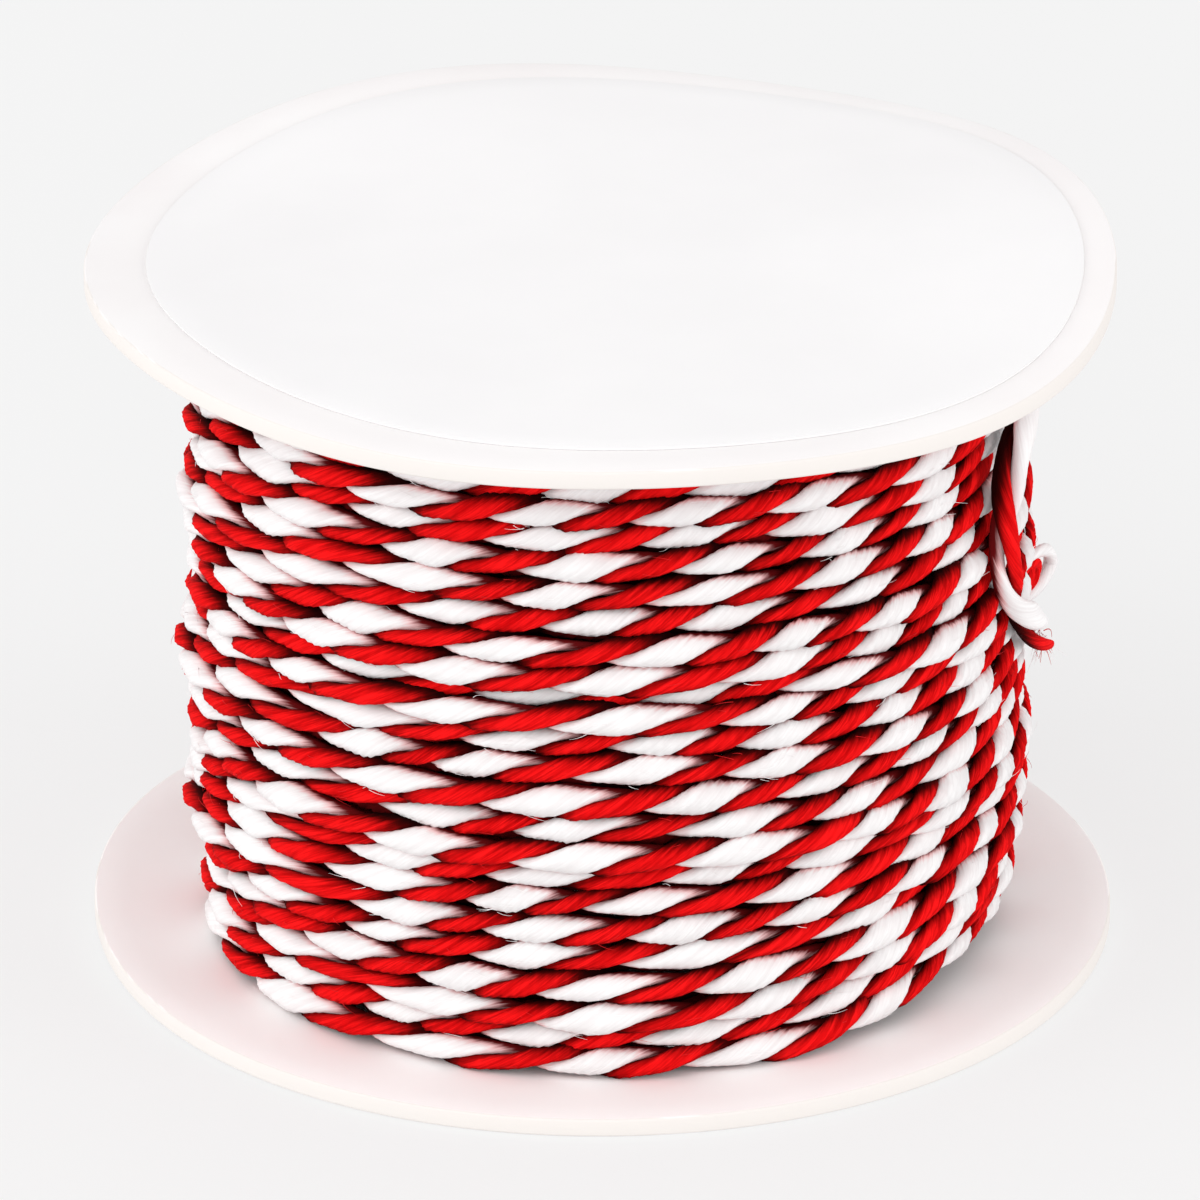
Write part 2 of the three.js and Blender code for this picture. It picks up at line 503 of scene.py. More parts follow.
@dataclass(frozen=True)
class YarnFinish:
    """A soft spun strand: matt, with fibres drawn out along it, and painted shade down its flanks to the
    hollows.

    The mesh's own attribute, crest, says how far out of the winding a place stands: 1 on the cord's crest, 0
    at its centreline and less in the hollows. The colour goes from the hollow colour through the flank
    colour to the lit one as it grows. The hollow and flank colours are painted shade, darkening the strand's
    sides and the hollows between the turns; on the white strand they are tinted red, a painted reflection of
    the red strand.
    """

    name: str
    light: Colour
    dark: Colour
    flank_shade: Colour
    hollow_shade: Colour
    hollow_shade_from: float
    hollow_shade_to: float
    flank_shade_from: float
    flank_shade_to: float
    fineness: float = 5.0
    stretch: float = 9.0
    bump: float = 0.22
    reach: float = 0.1
    ragged: float = 0.09

    def material(self, fibres: bpy.types.NodeTree) -> bpy.types.Material:
        """Makes the material.

        Args:
            fibres: The shared group from fibre_group.

        Returns:
            The material, which reads the place along the strand from the mesh.
        """
        made = bpy.data.materials.new(self.name)
        made.use_nodes = True
        nodes = Nodes(made.node_tree)
        place = nodes.add("Attribute", attribute_name="strand", attribute_type="GEOMETRY").outputs["Vector"]
        crest = nodes.add("Attribute", attribute_name="crest", attribute_type="GEOMETRY").outputs["Fac"]
        along = {"Place": place, "Fineness": self.fineness, "Stretch": self.stretch}
        spun = nodes.add("Group", along, node_tree=fibres).outputs
        lit = nodes.blend(spun["Tone"], (*self.dark, 1), (*self.light, 1))
        swing = {"Value": spun["Tone"], "To Min": -self.ragged, "To Max": self.ragged}
        level = nodes.reckon("ADD", crest, nodes.add("MapRange", swing).outputs[0])
        # Painted shade: darker down the strand's sides and darkest in the hollows between the turns, as the
        # crest falls.
        out_of_flank_shade = nodes.rise(level, self.flank_shade_from, self.flank_shade_to, "SMOOTHSTEP")
        out_of_hollow_shade = nodes.rise(level, self.hollow_shade_from, self.hollow_shade_to, "SMOOTHSTEP")
        colour = nodes.blend(out_of_hollow_shade, (*self.hollow_shade, 1), nodes.blend(out_of_flank_shade, (*self.flank_shade, 1), lit))
        bump = {"Height": spun["Height"], "Strength": self.bump, "Distance": self.reach * MM}
        shader = nodes.add(
            "BsdfPrincipled",
            {
                "Base Color": colour,
                "Roughness": 0.9,
                "Specular IOR Level": 0.05,
                "Normal": nodes.add("Bump", bump).outputs[0],
            },
        )
        nodes.add("OutputMaterial", {0: shader.outputs[0]})
        return made


# The white strand's pink flank colour and dark red hollow colour are painted shade tinted by a painted
# reflection of the red strand.
WHITE_YARN = YarnFinish(
    "white yarn",
    light=(0.86, 0.845, 0.845),
    dark=(0.78, 0.75, 0.75),
    flank_shade=(0.78, 0.44, 0.44),
    hollow_shade=(0.12, 0.004, 0.005),
    hollow_shade_from=-0.02,
    hollow_shade_to=0.34,
    flank_shade_from=0.15,
    flank_shade_to=0.6,
)
# The red strand's dark flank colour and near-black hollow colour are painted shade.
RED_YARN = YarnFinish(
    "red yarn",
    light=(0.9, 0.008, 0.009),
    dark=(0.56, 0.001, 0.002),
    flank_shade=(0.06, 0.0, 0.0),
    hollow_shade=(0.012, 0.0, 0.0),
    hollow_shade_from=-0.02,
    hollow_shade_to=0.48,
    flank_shade_from=0.3,
    flank_shade_to=1.05,
)
WHITE_FIBRES = PlainFinish(
    "white fibres",
    light=(0.95, 0.93, 0.93),
    dark=(0.86, 0.83, 0.83),
    cut=(0.9, 0.88, 0.88),
)
RED_FIBRES = PlainFinish(
    "red fibres",
    light=(0.8, 0.01, 0.012),
    dark=(0.5, 0.002, 0.003),
    cut=(0.6, 0.004, 0.005),
)
CARD = PlainFinish(
    "white card",
    light=(0.885, 0.865, 0.865),
    dark=(0.86, 0.83, 0.83),
    cut=(0.78, 0.74, 0.71),
)
# The lower card is the same card as the upper one, painted lighter and a touch pinker: painted light where
# the upper card and the winding keep light off it, and a painted reflection of the red cord.
LOWER_CARD_PAINTED_LIGHTER = PlainFinish(
    "lower white card painted lighter",
    light=(0.93, 0.9, 0.895),
    dark=(0.91, 0.875, 0.87),
    cut=(0.78, 0.74, 0.71),
)
PAPER = PlainFinish(
    "white paper",
    light=(0.87, 0.858, 0.863),
    dark=(0.85, 0.838, 0.843),
    cut=(0.8, 0.79, 0.79),
    roughness=0.7,
    tooth=6000,
    bump=0.08,
    reach=0.03,
)


def carry(obj: bpy.types.Object, node: str) -> None:
    """Puts a piece in a node's place, on the spool's one body.

    Args:
        obj: The piece.
        node: The node that it stands for.
    """
    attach(obj, "root")
    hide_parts(node)


@dataclass
class Plate:
    """A round plate of card or paper whose faces both follow a lift.

    Its rings are shares of its radius, and edge is how far its rim's corners are rounded.
    """

    name: str
    node: str
    slot: str
    radius: float
    thickness: float
    bottom: float
    lift: Field
    centre: tuple[float, float] = (0.0, 0.0)
    edge: float = 0.18
    sectors: int = 256
    rings: tuple[float, ...] = (0, 0.2, 0.4, 0.55, 0.7, 0.8, 0.88, 0.94)

    def build(self, material: bpy.types.Material) -> bpy.types.Object:
        """Spins the plate's outline about its axis, softens its rim and lifts it.

        Args:
            material: The plate's finish.

        Returns:
            The finished object.
        """
        bm = bmesh.new()
        inner = [share * self.radius for share in self.rings]
        top = self.bottom + self.thickness
        outline = [(r, self.bottom) for r in inner] + [(self.radius, self.bottom)]
        outline += [(self.radius, top)] + [(r, top) for r in reversed(inner)]
        verts = [bm.verts.new((r, 0, z)) for r, z in outline]
        edges = [bm.edges.new(pair) for pair in zip(verts, verts[1:])]
        bmesh.ops.spin(
            bm,
            geom=[*verts, *edges],
            axis=(0, 0, 1),
            cent=(0, 0, 0),
            angle=math.tau,
            steps=self.sectors,
            use_merge=True,
        )
        bmesh.ops.remove_doubles(bm, verts=bm.verts, dist=MERGE)
        rim = [e for e in bm.edges if all(math.hypot(*v.co.xy) > self.radius - NEAR for v in e.verts)]
        hoops = [e for e in rim if abs(e.verts[0].co.z - e.verts[1].co.z) < NEAR]
        bmesh.ops.bevel(
            bm, geom=hoops, offset=self.edge, segments=3, profile=0.5, affect="EDGES", material=-1
        )
        bmesh.ops.recalc_face_normals(bm, faces=bm.faces)
        cut = bm.verts.layers.float.new("cut")
        for vert in bm.verts:
            vert[cut] = float(math.hypot(*vert.co.xy) > self.radius - self.edge / 2)
        bmesh.ops.translate(bm, verts=bm.verts, vec=(*self.centre, 0))
        places = np.array([v.co for v in bm.verts])
        places[:, 2] += self.lift(places[:, 0], places[:, 1])
        for vert, place in zip(bm.verts, places * MM):
            vert.co = place
        obj = finished(self.name, bm, material)
        carry(obj, self.node)
        return obj


PLATES = (
    Plate(
        "lower_card",
        node="lower_flange",
        slot="card",
        radius=FLANGE_RADIUS,
        thickness=CARD_THICKNESS,
        bottom=0.0,
        lift=lower_lift,
    ),
    Plate(
        "upper_card",
        node="upper_flange",
        slot="card",
        radius=FLANGE_RADIUS,
        thickness=CARD_THICKNESS,
        bottom=SPOOL_HEIGHT - CARD_THICKNESS,
        lift=upper_lift,
    ),
    Plate(
        "bare_facing",
        node="paper_facing",
        slot="paper",
        radius=FACING_RADIUS,
        thickness=FACING_THICKNESS,
        bottom=SPOOL_HEIGHT + FACING_GAP,
        lift=upper_lift,
        centre=(1.0, 0.3),
        edge=0.04,
    ),
)


@dataclass
class Lead:
    """A cord's centreline with its outward and upward directions, in millimetres."""

    places: np.ndarray
    outward: np.ndarray
    upward: np.ndarray
    along: np.ndarray

    @classmethod
    def through(cls, places: np.ndarray, axis: np.ndarray) -> "Lead":
        """Works out the directions of a centreline that lies on the wound cord.

        Args:
            places: Points along the centreline, a row each.
            axis: The winding's own centre at each point, which it looks away from.

        Returns:
            The lead.
        """
        tangent = np.gradient(places, axis=0)
        tangent /= np.linalg.norm(tangent, axis=1, keepdims=True)
        outward = places - axis
        outward -= (outward * tangent).sum(axis=1, keepdims=True) * tangent
        outward /= np.linalg.norm(outward, axis=1, keepdims=True)
        steps = np.linalg.norm(np.diff(places, axis=0), axis=1)
        return cls(places, outward, np.cross(outward, tangent), np.concatenate([[0], np.cumsum(steps)]))


@dataclass(frozen=True)
class Strand:
    """One strand of the cord, flattened where it lies against the other.

    It starts at an angle round the cord and lies by its offset from the centreline. Where it faces inward it
    is slimmer by the share pinch, or fuller if that is below 0. Its fibres lean back by the share fibre_lean
    of each turn.
    """

    ply: Ply
    start: float
    offset: float
    half_width: float
    half_depth: float
    seed: int
    pinch: float = 0.0
    fibre_lean: float = 0.35

    def slubs(self, along: np.ndarray) -> np.ndarray:
        """Gives how much thicker than usual the strand was spun at each distance along it."""
        short = Drift(reach=0.1, length=3.1, seed=self.seed)
        long = Drift(reach=0.15, length=7.0, seed=self.seed + 1)
        return short(along) + long(along)

    def tube(
        self,
        name: str,
        lead: Lead,
        turns: np.ndarray,
        sides: int,
        material: bpy.types.Material,
        swell: np.ndarray | float = 1.0,
        spread: np.ndarray | float = 0.0,
        shade_depth: float = 0.0,
    ) -> bpy.types.Object:
        """Rolls a grid into the strand's tube round its lead.

        Args:
            name: The object's name.
            lead: The cord's centreline.
            turns: How many times the strands have gone round each other, at each point.
            sides: Faces round the tube.
            material: The strand's finish.
            swell: The tube's thickness as a share of its usual one.
            spread: How much further the strand lies from the centreline.
            shade_depth: How far under the outer turns the cord counts as lying, in half diameters; it only
                adds painted shade to its colour.

        Returns:
            The finished object.
        """
        count = len(lead.along)
        bm = bmesh.new()
        bmesh.ops.create_grid(bm, x_segments=count - 1, y_segments=sides, size=1.0)
        place = bm.verts.layers.float_vector.new("strand")
        out_of_hollow_shade = bm.verts.layers.float.new("crest")
        flat = np.array([v.co.xy for v in bm.verts])
        step = np.rint((flat[:, 0] + 1) / 2 * (count - 1)).astype(int)
        side = np.rint((flat[:, 1] + 1) / 2 * sides).astype(int) % sides
        turned = math.tau * turns + math.radians(self.start)
        away = np.cos(turned)[:, None] * lead.outward + np.sin(turned)[:, None] * lead.upward
        across = np.cos(turned)[:, None] * lead.upward - np.sin(turned)[:, None] * lead.outward
        fat = swell * (1 + self.slubs(lead.along)) * (1 - self.pinch * (1 - np.cos(turned)) / 2)
        centre = lead.places + (self.offset + np.broadcast_to(spread, count))[:, None] * away
        round_it = math.tau * side / sides
        depth = (self.half_depth * fat)[step] * np.cos(round_it)
        width = (self.half_width * fat)[step] * np.sin(round_it)
        places = centre[step] + depth[:, None] * away[step] + width[:, None] * across[step]
        fibre_turn = round_it - turned[step] * self.fibre_lean
        strand = np.stack([np.cos(fibre_turn), np.sin(fibre_turn), lead.along[step]], axis=1)
        # The crest attribute sets how much painted shade the yarn's finish puts on each place.
        stands = ((places - lead.places[step]) * lead.outward[step]).sum(axis=1)
        crest = stands / (CORD_DIAMETER / 2) - shade_depth
        for vert, co, fibre, height in zip(bm.verts, places * MM, strand, crest):
            vert.co = co
            vert[place] = fibre
            vert[out_of_hollow_shade] = height
        bmesh.ops.remove_doubles(bm, verts=bm.verts, dist=MERGE * MM)
        bmesh.ops.holes_fill(bm, edges=[e for e in bm.edges if e.is_boundary], sides=sides)
        bmesh.ops.recalc_face_normals(bm, faces=bm.faces)
        return finished(name, bm, material)


OUTER_SIDES = {Ply.WHITE: 12, Ply.RED: 10}
UNDER_SIDES = 8
LOOSE_SIDES = 14
PULLED_SIDES = 10
STRANDS = (
    Strand(Ply.WHITE, start=0, offset=0.43, half_width=1.2, half_depth=0.88, seed=11, pinch=0.44),
    Strand(Ply.RED, start=180, offset=0.69, half_width=0.84, half_depth=0.55, seed=23, pinch=-0.55),
)


def smooth_line(knots: np.ndarray, count: int) -> np.ndarray:
    """Gives a smooth curve through a few points.

    Args:
        knots: The points, a row each.
        count: Points wanted, evenly along the curve.

    Returns:
        The wanted points, a row each.
    """
    span = np.linalg.norm(np.diff(knots, axis=0), axis=1)
    at = np.concatenate([[0], np.cumsum(span)])
    slope = np.gradient(knots, at, axis=0)
    want = np.linspace(0, at[-1], count)
    i = np.clip(np.searchsorted(at, want, side="right") - 1, 0, len(span) - 1)
    h = span[i][:, None]
    t = ((want - at[i]) / span[i])[:, None]
    return (
        knots[i] * (1 + 2 * t) * (1 - t) ** 2
        + knots[i + 1] * t**2 * (3 - 2 * t)
        + slope[i] * h * t * (1 - t) ** 2
        + slope[i + 1] * h * t**2 * (t - 1)
    )


def round_spool(knots: Knots) -> np.ndarray:
    """Turns rows of angle, radius and height into places.

    Args:
        knots: The rows.

    Returns:
        The places, a row each.
    """
    angle, radius, height = np.array(knots, float).T
    turned = np.radians(angle)
    return np.stack([radius * np.sin(turned), -radius * np.cos(turned), height], axis=1)


@dataclass
class Fibres:
    """Fine single fibres that stand off the yarn, drawn as thin tapered threads."""

    name: str
    node: str
    thickness: float
    taper: float = 0.7
    threads: list[tuple[Ply, np.ndarray]] = field(default_factory=list)

    def build(self, finishes: dict[Ply, bpy.types.Material]) -> bpy.types.Object:
        """Makes one mesh of all the threads.

        Args:
            finishes: The material of each ply's fibres.

        Returns:
            The finished object.
        """
        data = bpy.data.curves.new(self.name, "CURVE")
        data.dimensions = "3D"
        data.bevel_depth = self.thickness / 2 * MM
        data.bevel_resolution = 0
        data.use_fill_caps = True
        plies = list(finishes)
        for ply in plies:
            data.materials.append(finishes[ply])
        for ply, places in self.threads:
            spline = data.splines.new("POLY")
            spline.points.add(len(places) - 1)
            spline.material_index = plies.index(ply)
            for i, (point, place) in enumerate(zip(spline.points, places * MM)):
                point.co = (*place, 1)
                point.radius = 1 - self.taper * i / (len(places) - 1)
        drawn = bpy.data.objects.new(self.name, data)
        bpy.context.scene.collection.objects.link(drawn)
        bpy.context.view_layer.update()
        mesh = bpy.data.meshes.new_from_object(drawn.evaluated_get(bpy.context.evaluated_depsgraph_get()))
        bpy.data.objects.remove(drawn)
        bpy.data.curves.remove(data)
        obj = bpy.data.objects.new(self.name, mesh)
        mesh.name = self.name
        bpy.context.scene.collection.objects.link(obj)
        carry(obj, self.node)
        return obj


@dataclass(frozen=True)
class StrayFibres:
    """How single fibre ends leave the outer turns: on which side of a strand, how high and how far.

    A fibre is rooted near the strand's surface, and only where the strand shows on the cord's outer side. It
    lifts off steeply and levels out along its run.
    """

    count: int = 2600
    seed: int = 83
    thickness: float = 0.045
    points: int = 5
    clear_of_ends: int = 8
    white_share: float = 0.6
    least_outward: float = 0.1
    round_side: float = 0.7
    rooted: float = 0.92
    lift: tuple[float, float] = (0.12, 0.5)
    lift_scatter: float = 0.12
    run: tuple[float, float] = (0.5, 1.6)
    run_scatter: float = 0.25
    steep: float = 1.4
    levels_out: float = 0.8

    def over(self, lead: Lead, turns: np.ndarray) -> Fibres:
        """Scatters the fibres over the outer turns.

        Args:
            lead: The outer turns' lead.
            turns: How many times the strands have gone round each other, at each point.

        Returns:
            The fibres, not built yet.
        """
        rng = np.random.default_rng(self.seed)
        tangent = np.gradient(lead.places, axis=0)
        tangent /= np.linalg.norm(tangent, axis=1, keepdims=True)
        t = np.linspace(0, 1, self.points)[:, None]
        fuzz = Fibres("stray_fibres", node="winding", thickness=self.thickness)
        for _ in range(self.count):
            i = rng.integers(self.clear_of_ends, len(turns) - self.clear_of_ends)
            strand = STRANDS[int(rng.random() > self.white_share)]
            turned = math.tau * turns[i] + math.radians(strand.start)
            away = math.cos(turned) * lead.outward[i] + math.sin(turned) * lead.upward[i]
            if away @ lead.outward[i] < self.least_outward:
                continue
            across = np.cross(tangent[i], away)
            side = rng.uniform(-self.round_side, self.round_side)
            root = lead.places[i] + (strand.offset + self.rooted * strand.half_depth * math.cos(side)) * away
            root = root + strand.half_width * math.sin(side) * across
            lift = rng.uniform(*self.lift) * away + rng.normal(0, self.lift_scatter, 3)
            run = rng.choice((-1, 1)) * rng.uniform(*self.run)
            run = run * (tangent[i] + rng.normal(0, self.run_scatter) * across)
            line = root + t * run + t * (self.steep - self.levels_out * t) * lift
            fuzz.threads.append((strand.ply, line))
        return fuzz


@dataclass
class WoundCord:
    """The cord wound on the spool: its outer turns in full, over a plainer layer beneath.

    Each turn climbs to the next over crossing degrees at the back. While the turns settle, those nearer
    than touching push each other off by the share press, and those further apart draw together by the share
    cling. Each is drawn back to where it was laid by the share homing. None leaves the room between the
    flanges by more than most_up, or the winding's even radius by more than most_in and most_out.

    The cord is squeezed to a share of its height, and its ends sink under their neighbours. Away from the
    front it is twisted unevenly, by up to slack_twist turns, and slackest at the angle slack_at. The layer
    beneath is deeper by under_sink and higher by under_rise, and starts its twist at under_twist. It also
    takes more painted shade than the outer turns, as though it lay further into the hollows.
    """

    steps_per_turn: int = 252
    under_steps: int = 140
    settle_steps: int = 120
    rounds: int = 160
    touching: float = 1.98
    press: float = 0.25
    cling: float = 0.09
    homing: float = 0.05
    smoothing: float = 0.15
    most_up: float = 0.1
    most_in: float = 1.5
    most_out: float = 0.8
    crossing: float = 60.0
    back: float = 180.0
    front_spread: float = 42.0
    front_calm: float = 0.6
    squeezed: float = 0.84
    ends_sink: float = 3.2
    ends_spread: float = 14.0
    white_forward: float = -0.1
    slack_twist: float = 0.5
    slack_at: float = -75.0
    under_sink: float = 1.75
    under_rise: float = 0.94
    under_shade_depth: float = 1.2
    # how much further into the painted hollow shade the layer beneath is put, in half diameters
    under_twist: float = 0.4
    rise_drifts: tuple[Drift, ...] = (
        Drift(reach=0.28, length=47, seed=71),
        Drift(reach=0.12, length=23, seed=72),
    )
    proud_drifts: tuple[Drift, ...] = (
        Drift(reach=0.5, length=38, seed=73),
        Drift(reach=0.2, length=19, seed=74),
    )
    twist_drifts: tuple[Drift, ...] = (
        Drift(reach=0.26, length=27.0, seed=5),
        Drift(reach=0.12, length=11.0, seed=6),
    )
    height: np.ndarray = field(init=False)
    radius: np.ndarray = field(init=False)
    fuzz: Fibres = field(init=False)

    def __post_init__(self) -> None:
        """Lays the turns and lets them settle."""
        self.settle()

    @property
    def lowest(self) -> float:
        """The lowest turn's height, where its cord just clears the lower card."""
        return CARD_THICKNESS + CORD_DIAMETER / 2 + CLEARANCE

    @property
    def highest(self) -> float:
        """The highest turn's height, just under the upper card."""
        return SPOOL_HEIGHT - CARD_THICKNESS - CORD_DIAMETER / 2 - CLEARANCE

    def settle(self) -> None:
        """Lays the turns evenly, lets each stray, and lets them press each other aside."""
        sweep = np.arange(TURNS * self.settle_steps + 1) / self.settle_steps
        turn = np.minimum(np.floor(sweep), TURNS - 1)
        angle = (sweep - turn) * 360 - self.back
        climb = np.clip((angle - self.back) / self.crossing + 0.5, 0, 0.5)
        climb = climb + np.clip((angle + self.back) / self.crossing - 0.5, -0.5, 0)
        pitch = (self.highest - self.lowest) / (TURNS - 1)
        self.height = self.lowest + pitch * np.clip(turn + climb, 0, TURNS - 1)
        level = wound_radius(self.height)
        self.radius = level.copy()
        around = sweep * 360
        self.stray(around, angle)
        self.press_aside(level)
        for end in (around[0], around[-1]):
            self.radius -= self.ends_sink * np.exp(-(((around - end) / self.ends_spread) ** 2))

    def stray(self, around: np.ndarray, angle: np.ndarray) -> None:
        """Moves the turns off their even places, less at the front, where the table says how they lie.

        Args:
            around: Degrees wound since the start, at each point.
            angle: The same point's angle round the spool.
        """
        free = 1 - self.front_calm * np.exp(-((angle / self.front_spread) ** 2))
        self.height += free * sum(drift(around) for drift in self.rise_drifts)
        self.radius += free * sum(drift(around) for drift in self.proud_drifts)
        front = [
            Stray(turn=i, angle=0, spread=self.front_spread, rise=row.rise, proud=row.proud)
            for i, row in enumerate(TURN_TABLE)
        ]
        for stray in (*front, *STRAYS):
            near = np.exp(-(((around - 360 * stray.turn - self.back - stray.angle) / stray.spread) ** 2))
            self.height += stray.rise * near
            self.radius += stray.proud * near

    def press_aside(self, level: np.ndarray) -> None:
        """Lets each turn and the one above it press each other aside, round by round.

        Args:
            level: The winding's even radius at each point.
        """
        n = self.settle_steps
        height, radius = self.height, self.radius
        home_height, home_radius = height.copy(), radius.copy()
        for _ in range(self.rounds):
            rise = height[n:] - height[:-n]
            out = radius[n:] - radius[:-n]
            apart = np.hypot(rise, out)
            slack = self.touching - apart
            push = np.where(slack > 0, self.press, self.cling) * slack / apart
            height[n:] += push * rise
            height[:-n] -= push * rise
            radius[n:] += push * out
            radius[:-n] -= push * out
            height += self.homing * (home_height - height)
            radius += self.homing * (home_radius - radius)
            for line in (height, radius):
                line[1:-1] += self.smoothing * (line[:-2] + line[2:] - 2 * line[1:-1])
            np.clip(height, self.lowest - self.most_up, self.highest + self.most_up, out=height)
            np.clip(radius, level - self.most_in, level + self.most_out, out=radius)

    def lead(self, sink: float = 0.0, raise_by: float = 0.0, steps: int | None = None) -> Lead:
        """Lays the cord's centreline through the settled turns.

        Args:
            sink: How much deeper the cord lies than the outer turns.
            raise_by: How much higher it lies.
            steps: Points in each turn.

        Returns:
            The lead.
        """
        steps = steps or self.steps_per_turn
        sweep = np.arange(TURNS * steps + 1) / steps
        at = np.arange(len(self.height)) / self.settle_steps
        height = np.interp(sweep, at, self.height) + raise_by
        radius = np.interp(sweep, at, self.radius) - CORD_DIAMETER / 2
        if sink:
            radius = np.minimum(radius, wound_radius(height) - CORD_DIAMETER / 2) - sink
        forward = wound_forward(height)
        turned = np.radians(sweep * 360 - self.back)
        x = WOUND_SHIFT_X + radius * np.sin(turned)
        y = -forward - radius * np.cos(turned)
        share = (height - CARD_THICKNESS) / (SPOOL_HEIGHT - 2 * CARD_THICKNESS)
        height = height + (1 - share) * lower_lift(x, y) + share * upper_lift(x, y)
        limit = LooseEnd.limit(np.degrees(np.arctan2(x, -y)), height) - CORD_DIAMETER / 2 - sink
        pulled = np.minimum(1, limit / np.hypot(x, y))
        places = np.stack([x * pulled, y * pulled, height], axis=1)
        axis = np.stack([np.full_like(x, WOUND_SHIFT_X), -forward, height], axis=1)
        lead = Lead.through(places, axis)
        lead.upward *= self.squeezed
        return lead

    def twist(self, lead: Lead) -> np.ndarray:
        """Counts how often the strands have gone round each other, so that white shows where it should.

        Args:
            lead: The outer turns' lead.

        Returns:
            The count at each point.
        """
        front = (np.arange(TURNS) + 0.5) * self.steps_per_turn
        along = lead.along[front.astype(int)]
        per_degree = math.radians(1) * (WOUND_SHAPE[0].radius - CORD_DIAMETER / 2)
        facing = [self.white_forward - row.white_at * per_degree / LAY for row in TURN_TABLE]
        counts = [part + round(place / LAY - part) for place, part in zip(along, facing)]
        angle = 360 * np.arange(len(lead.along)) / self.steps_per_turn - self.back
        wander = sum(drift(lead.along) for drift in self.twist_drifts)
        wander -= self.slack_twist * np.sin(np.radians(angle - self.slack_at))
        knots = np.concatenate([[0], along, [lead.along[-1]]])
        ends = (counts[0] - along[0] / LAY, counts[-1] + (lead.along[-1] - along[-1]) / LAY)
        even = np.interp(lead.along, knots, [ends[0], *counts, ends[1]])
        return even + wander - np.interp(lead.along, along, np.interp(along, lead.along, wander))

    def build(self, finishes: dict[Ply, bpy.types.Material]) -> list[bpy.types.Object]:
        """Makes the outer turns and the layer beneath them.

        Args:
            finishes: The material of each strand.

        Returns:
            The objects, outer turns first.
        """
        made = []
        outer = self.lead()
        turns = self.twist(outer)
        self.fuzz = StrayFibres().over(outer, turns)
        for strand in STRANDS:
            name = f"outer_turns_{strand.ply.value}"
            sides = OUTER_SIDES[strand.ply]
            made.append(strand.tube(name, outer, turns, sides, finishes[strand.ply]))
        under = self.lead(sink=self.under_sink, raise_by=self.under_rise, steps=self.under_steps)
        turns = under.along / LAY + self.under_twist
        for strand in STRANDS:
            name = f"turns_beneath_{strand.ply.value}"
            finish = finishes[strand.ply]
            made.append(strand.tube(name, under, turns, UNDER_SIDES, finish, shade_depth=self.under_shade_depth))
        for obj in made:
            carry(obj, "winding")
        return made


@dataclass(frozen=True)
class FrayedTip:
    """How the fibres fan out of the loose end's cut tip.

    They start back from the tip, scatter to all sides and lean a little outward. On the way they curl and
    droop.
    """

    count: int = 46
    seed: int = 61
    thickness: float = 0.09
    points: int = 6
    whites_in_five: int = 3
    starts_back: float = 0.7
    scatter: float = 0.3
    outward: float = 0.12
    length: tuple[float, float] = (0.8, 1.8)
    curl: float = 0.25
    droop: float = 0.35

    def at_end(self, places: np.ndarray) -> Fibres:
        """Gives the fibres at the end of a route.

        Args:
            places: The route's points, a row each.

        Returns:
            The fibres, not built yet.
        """
        rng = np.random.default_rng(self.seed)
        tip = places[-1]
        ahead = places[-1] - places[-4]
        ahead /= np.linalg.norm(ahead)
        out = tip * (1, 1, 0) / np.linalg.norm(tip[:2])
        t = np.linspace(0, 1, self.points)[:, None]
        droop = np.array([0, 0, -self.droop]) * t**2
        tuft = Fibres("frayed_tip", node="loose_end", thickness=self.thickness)
        for i in range(self.count):
            lean = rng.normal(0, self.scatter, 3) + self.outward * out
            length = rng.uniform(*self.length)
            start = tip - self.starts_back * ahead + rng.normal(0, self.scatter, 3)
            line = start + length * (t * (ahead + lean) + t**2 * rng.normal(0, self.curl, 3) + droop)
            tuft.threads.append((Ply.WHITE if i % 5 < self.whites_in_five else Ply.RED, line))
        return tuft


